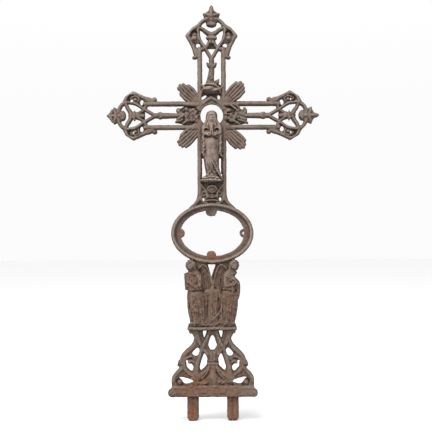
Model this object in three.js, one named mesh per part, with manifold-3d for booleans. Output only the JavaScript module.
// A cast iron grave cross in openwork, one relief casting with a flat back.
// Millimetres, +Z up, the relief faces -Y. The origin is on the underside of the base plate, in its middle.
import * as THREE from "three";
import { mergeVertices } from "three/addons/utils/BufferGeometryUtils.js";
import Module from "manifold-3d";

const wasm = await Module();
wasm.setup();

// Driving dimensions
const BACK = 8;
const TRIM = 14;
const CENTRE_Z = 701;
const RAIL_OFFSET = 29.5;
const RAIL_WIDTH = 12;
const RAIL_FRONT = 8;
const RAIL_END = 166;
const TOP_REACH = 275.5;
const COLLAR = 190;
const STEM_WIDTH = 12;
const STEM_FRONT = 6;
const WEB_FRONT = -1;
const BAR_WIDTH = 8.3;
const BAR_FRONT = 6;
const HALO_RADIUS = 27;
const HALO_RIM = 4.5;
const SHAFT_RAIL = 30.5;
const SHAFT_END = 492;
const OVAL_Z = 406.75;
const OVAL_OUTER = [102.75, 76];
const OVAL_RIM = [92.5, 65.8];
const OVAL_LEDGE = [79.5, 57.25];
const OVAL_RIM_FRONT = 12;
const OVAL_LEDGE_FRONT = 2;
const PLATE_HALF = 112;
const PLATE_FACE = 19;
const PLATE_TOP = 29;
const PLATE_FRONT = 22;
const TANG_LENGTH = 61;
const TANG_HALF = 14.6;
const TANG_OFFSET = 49.8;
const TANG_THICK = 13;
const SLIVER = 0.35;

// The arms differ by wear: how far each tip reaches, and which small holes came out open
const ARMS = [
  { turn: 0, reach: TOP_REACH, corner: [60, 199.5], pocket: 0, eye: [5.5, 5.5], leafBud: true },
  { turn: Math.PI / 2, reach: 268, corner: [57, 196], pocket: 3, eye: [6.5, 5], leafBud: false },
  { turn: -Math.PI / 2, reach: 262.5, corner: [56.5, 197], pocket: 3, eye: [6.5, 4.6], leafBud: false },
];

// A closed skin over a row of equal rings of points, with a flat cap at each end
function skin(rings) {
  const size = rings[0].length;
  const last = (rings.length - 1) * size;
  const index = [];
  for (let r = 0; r + 1 < rings.length; r += 1) {
    for (let k = 0; k < size; k += 1) {
      const a = r * size + k;
      const b = r * size + ((k + 1) % size);
      index.push(a, b, b + size, a, b + size, a + size);
    }
  }
  for (let k = 1; k + 1 < size; k += 1) {
    index.push(0, k + 1, k);
    index.push(last, last + k, last + k + 1);
  }
  const geometry = new THREE.BufferGeometry().setFromPoints(rings.flat());
  geometry.setIndex(index);
  return geometry;
}

// Points on a smooth curve through the given places in the plane of the cross
function smooth(places, count) {
  const curve = new THREE.SplineCurve(places.map(([x, z]) => new THREE.Vector2(x, z)));
  return curve.getPoints(count).map((p) => [p.x, p.y]);
}

// The points of an ellipse in the plane of the cross
function ellipse(x, z, rx, rz, count) {
  const curve = new THREE.EllipseCurve(x, z, rx, rz, 0, 2 * Math.PI);
  return curve.getPoints(count).slice(1).map((p) => [p.x, p.y]);
}

// A cast bar through the given places: flat behind, ridged in front, mitred at each place.
// Without steps it runs straight from place to place, and with them it follows a smooth curve.
// The ends say how much of the section is left at the first and last place.
function bar(places, { width = BAR_WIDTH, front = BAR_FRONT, steps = 0, ends = [1, 1], back = TRIM } = {}) {
  const path = (steps ? smooth(places, steps) : places).map(([x, z]) => new THREE.Vector2(x, z));
  const widths = [width].flat();
  const last = path.length - 1;
  const rings = path.map((at, i) => {
    const before = at.clone().sub(path[Math.max(i - 1, 0)]).normalize();
    const after = path[Math.min(i + 1, last)].clone().sub(at).normalize();
    const along = before.clone().add(after).normalize();
    const mitre = 1 / Math.max(0.5, along.dot(i ? before : after));
    const left = i === 0 ? ends[0] : i === last ? ends[1] : 1;
    const half = (THREE.MathUtils.lerp(widths[0], widths.at(-1), i / last) / 2) * left;
    const rise = front * (0.4 + 0.6 * left);
    const section = [[-half, back], [-half, 0.8 * half - rise], [0, -rise], [half, 0.8 * half - rise], [half, back]];
    return section.map(([v, y]) => new THREE.Vector3(at.x - along.y * v * mitre, y, at.y + along.x * v * mitre));
  });
  return skin(rings);
}

// A flat cast plate with a chamfered front edge, and holes through it
function plate(outline, { front = BAR_FRONT, chamfer = 2, holes = [], back = TRIM } = {}) {
  const shape = new THREE.Shape(outline.map(([x, z]) => new THREE.Vector2(x, z)));
  for (const hole of holes) {
    shape.holes.push(new THREE.Path(hole.map(([x, z]) => new THREE.Vector2(x, z))));
  }
  const geometry = new THREE.ExtrudeGeometry(shape, {
    depth: front + back - 2 * chamfer,
    bevelEnabled: chamfer > 0,
    bevelThickness: chamfer,
    bevelSize: chamfer,
    bevelOffset: -chamfer,
    bevelSegments: 1,
  });
  return geometry.rotateX(Math.PI / 2).translate(0, back - chamfer, 0);
}

// A rounded lump, given by its middle and its half-sizes
function lump([x, y, z], [rx, ry, rz], { sides = 7, rows = 4 } = {}) {
  return new THREE.SphereGeometry(1, sides, rows).scale(rx, ry, rz).translate(x, y, z);
}

// A tapering round limb along a path in space
function limb(places, radii, { sides = 6, steps = 3 } = {}) {
  const curve = new THREE.CatmullRomCurve3(places.map((p) => new THREE.Vector3(...p)));
  const frames = curve.computeFrenetFrames(steps);
  const rings = [];
  for (let s = 0; s <= steps; s += 1) {
    const at = curve.getPointAt(s / steps);
    const place = (s / steps) * (radii.length - 1);
    const low = Math.min(Math.floor(place), radii.length - 2);
    const radius = THREE.MathUtils.lerp(radii[low], radii[low + 1], place - low);
    const ring = [];
    for (let k = 0; k < sides; k += 1) {
      const angle = (2 * Math.PI * k) / sides;
      ring.push(
        at.clone()
          .addScaledVector(frames.normals[s], radius * Math.cos(angle))
          .addScaledVector(frames.binormals[s], radius * Math.sin(angle)),
      );
    }
    rings.push(ring);
  }
  return skin(rings);
}

// A draped body in half relief. Each level is its height, middle, half-width and rise to the front,
// and the folds add to the rise as a share of it.
function relief(levels, { sides = 14, folds = () => 0 } = {}) {
  const rings = levels.map(([z, x, half, rise]) => {
    const ring = [];
    for (let k = 0; k <= sides; k += 1) {
      const angle = (Math.PI * k) / sides;
      const swell = 1 + folds(angle, z) * Math.sin(angle);
      ring.push(new THREE.Vector3(x - half * Math.cos(angle), -rise * swell * Math.sin(angle), z));
    }
    ring.push(new THREE.Vector3(x + half, TRIM, z));
    ring.push(new THREE.Vector3(x - half, TRIM, z));
    return ring;
  });
  return skin(rings);
}

// A rose: a heart on a plate of round petals
function rose(x, z, radius, front, petals = 5) {
  const edge = [];
  for (let k = 0; k < 2 * petals; k += 1) {
    const angle = (Math.PI * k) / petals + 0.4;
    const reach = k % 2 ? radius : 0.78 * radius;
    edge.push([x + reach * Math.cos(angle), z + reach * Math.sin(angle)]);
  }
  return [
    plate(edge, { front: front - 3, chamfer: 2.5, back: 2 }),
    lump([x, 3 - front, z], [0.45 * radius, 5, 0.45 * radius], { sides: 6 }),
  ];
}

// A list of places with x on the given side
function sided(side, places) {
  return places.map(([x, z]) => [side * x, z]);
}

// The openwork end of an arm, with x across the arm and z outward from the middle of the cross.
// Beyond the collar everything is drawn in as much as the arm's own tip falls short of the top one.
function armEnd({ reach, corner, pocket, eye, leafBud }) {
  const share = (reach - COLLAR) / (TOP_REACH - COLLAR);
  const out = (z) => (z > COLLAR ? COLLAR + (z - COLLAR) * share : z);
  const at = (side, places) => places.map(([x, z]) => [side * x, out(z)]);
  const whole = (half) => [...at(-1, half), ...at(1, [...half].reverse())];
  const hoop = [[8, 242], [20, 237], [30, 227], [33.5, 213], [32, 197], [27, 184], [17, 170], [3, 146]];
  const finial = [[2, TOP_REACH], [5, 269], [7, 263], [12, 258], [21, 254], [17.5, 244], [14, 232]];
  const ear = [[29, 226], [42, 216], corner, [51, 184], [43.5, 167], [40, 154], [33, 146]];
  const earWeb = [[28, 226], [40, 216], corner, [50, 184], [43, 165], [36, 148], [28, 152], [24, 172], [33, 200]];
  const column = [[9.2, 209], [8.2, 198], [13.8, 197], [13.8, 191], [8.4, 189], [7, 178]];
  const fan = [[5, 190], [14, 174], [9, 167]];
  const holes = [ellipse(33.5, 175, ...eye, 7)];
  if (pocket) {
    holes.push(ellipse(40, 205, pocket, pocket, 6));
  }
  const parts = [
    plate(whole(finial), { front: 5, chamfer: 1.6 }),
    bar(at(1, [[0, TOP_REACH - 1], [0, 240]]), { width: [6, 15], front: 10, ends: [0.5, 1], back: 0 }),
    lump([0, -2, out(229)], [13, 9, 10], { sides: 8 }),
    plate(whole(column), { front: 9, chamfer: 2.2 }),
    plate(whole(fan), { front: WEB_FRONT, chamfer: 0 }),
    bar([[0, 152], [0, 60]], { width: STEM_WIDTH, front: STEM_FRONT }),
  ];
  for (const side of [-1, 1]) {
    parts.push(
      bar(at(side, hoop)),
      bar(at(side, [[2, 247], [19, 252]]), { width: [8, 6], front: 8, ends: [1, 0.5], back: 0 }),
      bar(at(side, [[3, 206], [22, 215], [33, 217]]), { width: 7.5 }),
      bar(at(side, [[4, 193], [7, 180], [16, 168], [31, 163]]), { width: 7.5 }),
      plate(at(side, earWeb), { front: WEB_FRONT, chamfer: 0, holes: holes.map((hole) => at(side, hole)) }),
      bar(at(side, ear), { width: 9 }),
      lump([side * 42.5, 0, out(192.5)], [8.5, 11, 8.5]),
      bar(at(side, [[RAIL_OFFSET, RAIL_END], [RAIL_OFFSET, 20]]), { width: RAIL_WIDTH, front: RAIL_FRONT }),
      bar(at(side, [[2, 134], [leafBud ? 13.5 : 11, 133]]), { width: [12, 7], ends: [1, 0.5] }),
    );
    if (leafBud) {
      parts.push(bar(at(side, [[36, 147], [47, 143.5]]), { width: [10, 6], front: 5, ends: [1, 0.5] }));
    } else {
      parts.push(lump([side * 40, 1, 143], [6.2, 7, 6.2]));
    }
  }
  return parts;
}

// A scalloped leaf of parallel ribs, standing out between the arms
function spray(turn) {
  const parts = [plate([[-16, 36], [-20, 60], [-20.5, 95], [-11, 107], [11, 107], [20.5, 95], [20, 60], [16, 36]], {
    front: 2,
    chamfer: 0,
  })];
  for (const rib of [-2, -1, 0, 1, 2]) {
    const reach = 113 - 3.2 * rib * rib;
    parts.push(bar([[7 * rib, 38], [8.2 * rib, reach - 7], [8.2 * rib, reach]], { width: [7, 9.5], ends: [1, 0.5] }));
  }
  return parts.map((part) => part.rotateY(turn));
}

// A pointed leaf or petal, given by its edge
function leaf(edge, front = BAR_FRONT) {
  return plate(edge, { front, chamfer: 2.5 });
}

// The middle of the cross behind the figure: gable, roses, halo rim and flower panels
function crossMiddle() {
  const crown = [[-30, 20], [-30, 72], [-8, 84], [8, 84], [30, 72], [30, 20]];
  const crownHoles = [ellipse(-19.5, 45, 4, 6, 6), ellipse(17.5, 45, 4, 6, 6)];
  const parts = [plate(crown, { front: WEB_FRONT, chamfer: 0, holes: crownHoles })];
  const leftPanel = [[-28, -25], [-28, 25], [-64, 25], [-80, 18], [-87, 12], [-80, 0], [-82, -8], [-88, -18], [-56, -25]];
  const rightPanel = [[28, -25], [28, 25], [60, 25], [72, 17], [86, 8], [78, -2], [80, -9], [88, -19], [60, -25]];
  parts.push(plate(leftPanel, { front: WEB_FRONT, chamfer: 0 }), plate(rightPanel, { front: WEB_FRONT, chamfer: 0 }));
  for (const side of [-1, 1]) {
    parts.push(bar([[side * 2, 52], [side * 31, 23]], { width: 8, front: 9, back: 4 }));
    parts.push(...rose(side * 16, 63, 11.5, 11));
  }
  parts.push(...rose(0, 66, 12, 13));
  parts.push(...rose(-51, 3, 15, 10, 6), ...rose(47, 11, 13, 10), ...rose(49, -11, 12, 9));
  parts.push(leaf([[-4, 80], [-12, 87], [-18, 80], [-10, 74]]));
  parts.push(leaf([[4, 80], [8, 92], [18, 92], [17, 78], [8, 72]]));
  parts.push(leaf([[-60, 22], [-72, 22], [-79, 16], [-88, 14], [-88, 7], [-80, 5], [-61, 9]]));
  parts.push(leaf([[-62, -2], [-80, -6], [-92, -14], [-91, -19], [-82, -19], [-68, -15], [-58, -20]]));
  parts.push(bar([[-68, 20], [-30, 20]], { width: 15, front: 8, ends: [0.6, 1] }));
  parts.push(leaf([[58, 2], [62, 14], [70, 17], [74, 10], [84, 13], [89, 8], [86, 2], [74, 0]]));
  parts.push(leaf([[58, -4], [72, -6], [86, -12], [91, -19], [84, -22], [72, -18], [60, -22]]));
  return parts;
}

function haloRim() {
  const outer = HALO_RADIUS + HALO_RIM;
  const profile = [[HALO_RADIUS, TRIM], [HALO_RADIUS, -7], [outer, -5], [outer, TRIM]];
  profile.push(profile[0]);
  return new THREE.LatheGeometry(profile.map(([r, y]) => new THREE.Vector2(r, y)), 24);
}

// The veiled figure with joined hands
function figure() {
  const mantleFold = (angle, z) => 0.05 * Math.cos(9 * angle + z / 30);
  const robeFold = (angle, z) => 0.09 * Math.cos(7 * angle + z / 26);
  const mantle = [
    [681, -1, 16, 17],
    [672, -0.5, 22, 19],
    [652, 0, 25, 21],
    [620, -0.5, 24, 20],
    [592, -1.4, 19.4, 20],
    [567, 0.2, 17.5, 20],
    [549, 2.2, 16, 19],
  ];
  const robe = [
    [655, -1, 10, 24],
    [642, -1, 14, 27],
    [600, -1, 14.5, 28],
    [570, -1, 14, 26],
    [549, -1, 14, 24],
  ];
  return [
    relief(mantle, { sides: 11, folds: mantleFold }),
    relief(robe, { sides: 11, folds: robeFold }),
    limb([[-19, -13, 676], [-21.5, -19, 660], [-14, -26, 653], [-5, -29, 658]], [6, 7, 7, 4.5]),
    limb([[19, -13, 676], [21.5, -19, 660], [13, -26, 652], [3, -29, 657]], [6, 7, 7, 4.5]),
    limb([[-0.8, -29, 652], [-0.6, -30, 664], [-0.6, -28, 676]], [5.4, 5.2, 2], { steps: 2 }),
    limb([[2, -26, 585], [12, -25, 567], [24, -16, 541]], [2, 3.6, 3.6], { sides: 5 }),
    limb([[-9, -25, 588], [-2, -27, 570], [3, -26, 550]], [2, 3.4, 3], { sides: 5 }),
    limb([[-19, -12, 610], [-15, -17, 575], [-11, -18, 550]], [3, 3.4, 3], { sides: 5 }),
  ];
}

function veiledHead() {
  const veil = lump([-0.5, -9, 692], [14.2, 15, 20.5], { sides: 12, rows: 7 });
  const hood = lump([-1, -25, 690], [8, 12, 11.5], { sides: 8, rows: 6 });
  const face = lump([-1, -15, 692], [6.2, 8, 8.5], { sides: 8, rows: 6 });
  return solid(veil).subtract(solid(hood)).add(solid(face));
}

// The cloud that the figure stands on, cut off flat below
function cloud() {
  const levels = [[534, -1, 27.5, 29], [541, -1, 27, 28], [551, -1, 15, 18]];
  return relief(levels, { sides: 10 });
}

// Behind the figure the upper shaft is closed, and below it there is a strapwork panel
function shaft() {
  const parts = [];
  for (const side of [-1, 1]) {
    parts.push(
      bar(sided(side, [[SHAFT_RAIL, CENTRE_Z - 18], [SHAFT_RAIL, SHAFT_END]]), { width: 11.5, front: RAIL_FRONT }),
      bar(sided(side, [[SHAFT_RAIL, 512], [32, 498], [37, 487], [48, 478], [62, 472]]), { width: [11.5, 10], front: 9 }),
    );
  }
  parts.push(plate([[22.5, 555], [22.5, 596], [27, 596], [27, 555]], { front: WEB_FRONT, chamfer: 0 }));
  parts.push(plate([[-27, 594], [-27, 680], [27, 680], [27, 594]], { front: WEB_FRONT, chamfer: 0 }));
  const flare = [[27, 545], [30, 505], [36, 487], [48, 477], [60, 470]];
  const panel = [...sided(-1, flare), ...sided(1, [...flare].reverse())];
  const panelHoles = [ellipse(-22, 491, 2.6, 3.2, 6), ellipse(20, 492, 2.9, 4.2, 6)];
  parts.push(plate(panel, { front: WEB_FRONT, chamfer: 0, holes: panelHoles }));
  parts.push(bar([[-15, 519], [-8, 527], [8, 527], [15, 519]], { width: 5, front: 9, back: 4 }));
  parts.push(lump([0, 0, 517], [11, 9, 5.5]));
  parts.push(lump([0, 0, 501], [9, 8, 4]));
  parts.push(bar([[-12, 485], [0, 493], [12, 485]], { width: 8, front: 9, back: 4 }));
  for (const side of [-1, 1]) {
    parts.push(bar(sided(side, [[27, 527], [18, 517], [12, 506]]), { width: 5, front: 8, back: 4 }));
    parts.push(bar(sided(side, [[14, 512], [22, 509], [22, 501], [14, 494]]), { width: 5, front: 7, back: 4 }));
  }
  return parts;
}

// The empty frame of the name plate, with its ledge and four lugs
function nameFrame() {
  const count = 30;
  const outer = ellipse(0, OVAL_Z, ...OVAL_OUTER, count);
  const rimInner = ellipse(0, OVAL_Z, ...OVAL_RIM, count);
  const ledgeInner = ellipse(0, OVAL_Z, ...OVAL_LEDGE, count);
  const lugSide = [[-86, 419], [-74, 417], [-69, 412], [-68, 407], [-69, 402], [-74, 397], [-86, 395]];
  const bolt = ellipse(79, 407, 3.8, 3.8, 8);
  const lugTop = [[-17, 468], [-16, 456], [-11, 450], [-2, 449], [7, 450], [11, 456], [12.5, 468]];
  const lugFoot = [[-15, 346], [-14, 357], [-10, 362], [-2, 363], [5, 362], [9, 357], [10, 346]];
  return [
    plate(outer, { front: OVAL_LEDGE_FRONT, chamfer: 0, holes: [ledgeInner] }),
    plate(outer, { front: OVAL_RIM_FRONT, chamfer: 3, holes: [rimInner] }),
    plate(lugSide, { front: OVAL_LEDGE_FRONT, chamfer: 1 }),
    plate(sided(-1, lugSide), { front: OVAL_LEDGE_FRONT, chamfer: 1, holes: [bolt] }),
    plate(lugTop, { front: OVAL_LEDGE_FRONT, chamfer: 1 }),
    plate(lugFoot, { front: OVAL_LEDGE_FRONT, chamfer: 1 }),
  ];
}

// One robed and winged figure of the pair that stands back to back
function angel(side) {
  const robe = [
    [312, 45, 12, 11],
    [303, 44, 19, 16],
    [285, 42, 20, 20],
    [266, 41, 17, 18],
    [256, 41, 21, 21],
    [228, 39.5, 23, 22],
    [198, 35, 22.5, 21],
    [179, 31, 21, 19],
  ].map(([z, x, half, rise]) => [z, side * x, half, rise]);
  const folds = (angle, z) => (z < 262 ? 0.1 * Math.cos(11 * angle + z / 60) : 0.03 * Math.cos(9 * angle));
  const at = (x, y, z) => [side * x, y, z];
  const parts = [
    relief(robe, { sides: 12, folds }),
    lump(at(55.5, -10, 327), [10.5, 12, 12.5], { sides: 8, rows: 6 }),
    lump(at(58, -8, 331), [9.5, 12, 9.5]),
    limb([at(50, -4, 306), at(54, -9, 320)], [8, 6.5], { steps: 1 }),
    limb([at(33, -14, 303), at(30, -20, 285), at(38, -25, 274), at(52, -26, 284)], [7, 7, 6, 4]),
    limb([at(58, -13, 303), at(62, -19, 290), at(58, -24, 280), at(51, -26, 286)], [7, 7, 5.5, 4]),
    bar(sided(side, [[36, 300], [34, 318], [25, 328], [14, 325], [7, 308], [2, 262]]), {
      width: [7, 5],
      front: 9,
      ends: [0.5, 0.5],
      back: 4,
    }),
  ];
  for (const feather of [0, 1, 2]) {
    const x = 9 + 6.5 * feather;
    parts.push(bar(sided(side, [[x + 4, 318], [x - 2, 262], [x - 4, 205]]), {
      width: [5, 8],
      front: 6 + 1.5 * feather,
      ends: [0.6, 0.5],
      back: 4,
    }));
  }
  return parts;
}

function angels() {
  const edge = [[50, 348], [57, 318], [56, 296], [58, 262], [60, 225], [57, 196], [52, 178]];
  const gap = [[-11.5, 329], [-2.8, 298], [7.75, 329]];
  const outline = [...sided(-1, edge), ...sided(1, [...edge].reverse())];
  const book = plate([[-70.5, 306], [-63, 310], [-52, 306], [-52, 268], [-68, 266]], { front: 12, chamfer: 2.5 });
  const wreath = new THREE.TorusGeometry(11, 5.5, 5, 9).rotateX(Math.PI / 2).scale(0.85, 1.6, 2.1);
  return [
    plate(outline, { front: 0, chamfer: 0, holes: [gap] }),
    book,
    wreath.translate(55.5, -8, 270),
    ...angel(-1),
    ...angel(1),
  ];
}

// The spreading openwork foot above the base plate
function foot() {
  const half = [
    [54, 182],
    [57, 165],
    ...smooth([[51, 157], [44, 148], [46, 135], [61, 117], [78, 102], [85, 84]], 8),
    [89.5, 78.5],
    ...smooth([[85, 73], [82, 66], [88, 60], [100, 52], [103.5, 40], [102, 20]], 7),
  ];
  const sideHoles = [
    [[24.5, 165], [15, 165], [17, 156], [21.5, 145], [24, 155]],
    [[38, 122], [32, 116], [36, 104], [41, 99.5], [49, 102], [52, 107.5], [45, 116]],
    [[20, 109], [26, 97], [33, 72], [30, 63.5], [16, 76], [13.5, 94]],
    [[62, 89], [48, 75], [50, 63], [56, 63.5], [66, 75], [66, 83]],
    [[86, 47], [79, 48.5], [50, 41.5], [49, 35], [65, 30.5], [73, 32], [79, 42]],
  ];
  const holes = sideHoles.flatMap((hole) => [sided(-1, hole), sided(1, hole)]);
  holes.push([[-1, 153.5], [-6, 147], [-11.5, 126], [-6, 115.5], [3, 115.5], [10.5, 126], [4.5, 146]]);
  const parts = [plate([...sided(-1, half), ...sided(1, [...half].reverse())], { front: 4, chamfer: 2.5, holes })];
  const trunk = [[9, 112], [9, 86], [14, 84], [14, 79], [10, 77], [12, 62], [30, 40], [36, 26]];
  parts.push(plate([...sided(-1, trunk), ...sided(1, [...trunk].reverse())], { front: 8, chamfer: 2.5, back: 2 }));
  for (const side of [-1, 1]) {
    parts.push(
      bar(sided(side, [[38, 165], [33, 142], [22, 116], [14, 104]]), { width: 8, front: 8, back: 0 }),
      bar(sided(side, [[9, 165], [20, 132], [27, 116], [33, 94], [40, 70], [40, 46]]), { width: 7, front: 8, back: 0 }),
      bar(sided(side, [[38, 152], [39, 137], [50, 123], [66, 109], [77, 94], [79, 74]]), { width: 7, front: 8, back: 0 }),
      bar(sided(side, [[56, 98], [72, 84], [70, 68], [44, 48]]), { width: 7, front: 8, back: 0 }),
      lump([side * 80.5, 0, 34.5], [7.5, 11, 7.5]),
    );
  }
  return parts;
}

// A straight run whose section is given as y and z
function run(section, from, to) {
  const rings = [from, to].map((x) => section.map(([y, z]) => new THREE.Vector3(x, y, z)));
  return skin(rings);
}

// The moulding under the winged figures, and the base plate: an upright face with a sloping step on it
function basePlate() {
  const moulding = [[TRIM, 165], [-13, 165], [-16, 168], [-16, 174], [-13, 177], [-13, 180], [TRIM, 180]];
  const step = [[TRIM, PLATE_FACE - 3], [-PLATE_FRONT + 3, PLATE_FACE - 3], [-10, PLATE_TOP], [TRIM, PLATE_TOP]];
  const face = [[109, 0], [PLATE_HALF, 4], [PLATE_HALF, 14], [107, PLATE_FACE]];
  return [
    run(moulding, -59.5, 59.5),
    run(step, -105, 105),
    plate([...sided(-1, face), ...sided(1, [...face].reverse())], { front: PLATE_FRONT, chamfer: 2 }),
  ];
}

function tangs() {
  const front = TANG_THICK / 2;
  const tang = (x) => {
    const foot = -TANG_LENGTH;
    const edge = [[x - TANG_HALF, 5], [x - TANG_HALF, foot + 6], [x - TANG_HALF + 5, foot], [x + TANG_HALF - 5, foot]];
    edge.push([x + TANG_HALF, foot + 6], [x + TANG_HALF, 5]);
    return plate(edge, { front, chamfer: 1.5 });
  };
  return [tang(-TANG_OFFSET), tang(TANG_OFFSET)];
}

// A geometry as a solid, whichever way its faces were wound
function solid(geometry) {
  const bare = new THREE.BufferGeometry();
  bare.setAttribute("position", geometry.getAttribute("position").clone());
  bare.setIndex(geometry.index);
  const merged = mergeVertices(bare, 1e-3);
  const vertProperties = merged.getAttribute("position").array;
  const triVerts = new Uint32Array(merged.index.array);
  const made = new wasm.Manifold(new wasm.Mesh({ numProp: 3, vertProperties, triVerts }));
  if (made.volume() > 0) {
    return made;
  }
  for (let i = 0; i < triVerts.length; i += 3) {
    [triVerts[i + 1], triVerts[i + 2]] = [triVerts[i + 2], triVerts[i + 1]];
  }
  return new wasm.Manifold(new wasm.Mesh({ numProp: 3, vertProperties, triVerts }));
}

// All the solids of a list joined into one
function join(solids) {
  return solids.reduce((whole, next) => whole.add(next));
}

function casting() {
  const arms = ARMS.flatMap((arm) => armEnd(arm).map((part) => part.rotateY(arm.turn)));
  const sprays = [45, 135, 225, 315].flatMap((degrees) => spray(THREE.MathUtils.degToRad(degrees)));
  const upper = [...arms, ...sprays, ...crossMiddle()].map((part) => part.translate(0, 0, CENTRE_Z));
  const opening = new THREE.CylinderGeometry(HALO_RADIUS, HALO_RADIUS, 120, 24).translate(0, 0, CENTRE_Z);
  const crossWork = join([...upper, haloRim().translate(0, 0, CENTRE_Z)].map(solid)).subtract(solid(opening));
  const lower = [...shaft(), ...figure(), cloud(), ...nameFrame(), ...angels(), ...foot(), ...basePlate(), ...tangs()];
  const behind = new THREE.BoxGeometry(800, 60, 1400).translate(0, BACK + 30, 400);
  const whole = join([crossWork, ...lower.map(solid), veiledHead()]).subtract(solid(behind));
  return withoutCrumbs(whole);
}

// The joins leave slivers finer than any cast edge: they are merged, and only the casting is kept
function withoutCrumbs(whole) {
  const bodies = whole.asOriginal().simplify(SLIVER).decompose();
  return bodies.reduce((best, next) => (next.volume() > best.volume() ? next : best));
}

function meshOf(manifold, name) {
  const made = manifold.getMesh();
  const geometry = new THREE.BufferGeometry();
  geometry.setAttribute("position", new THREE.BufferAttribute(made.vertProperties, 3));
  geometry.setIndex(new THREE.BufferAttribute(made.triVerts, 1));
  geometry.computeVertexNormals();
  const mesh = new THREE.Mesh(geometry, new THREE.MeshStandardMaterial({ color: 0x6e5f57, roughness: 0.8, metalness: 0.3 }));
  mesh.name = name;
  return mesh;
}

const cross = new THREE.Group();
cross.add(meshOf(casting(), "cross_casting"));

export default cross;
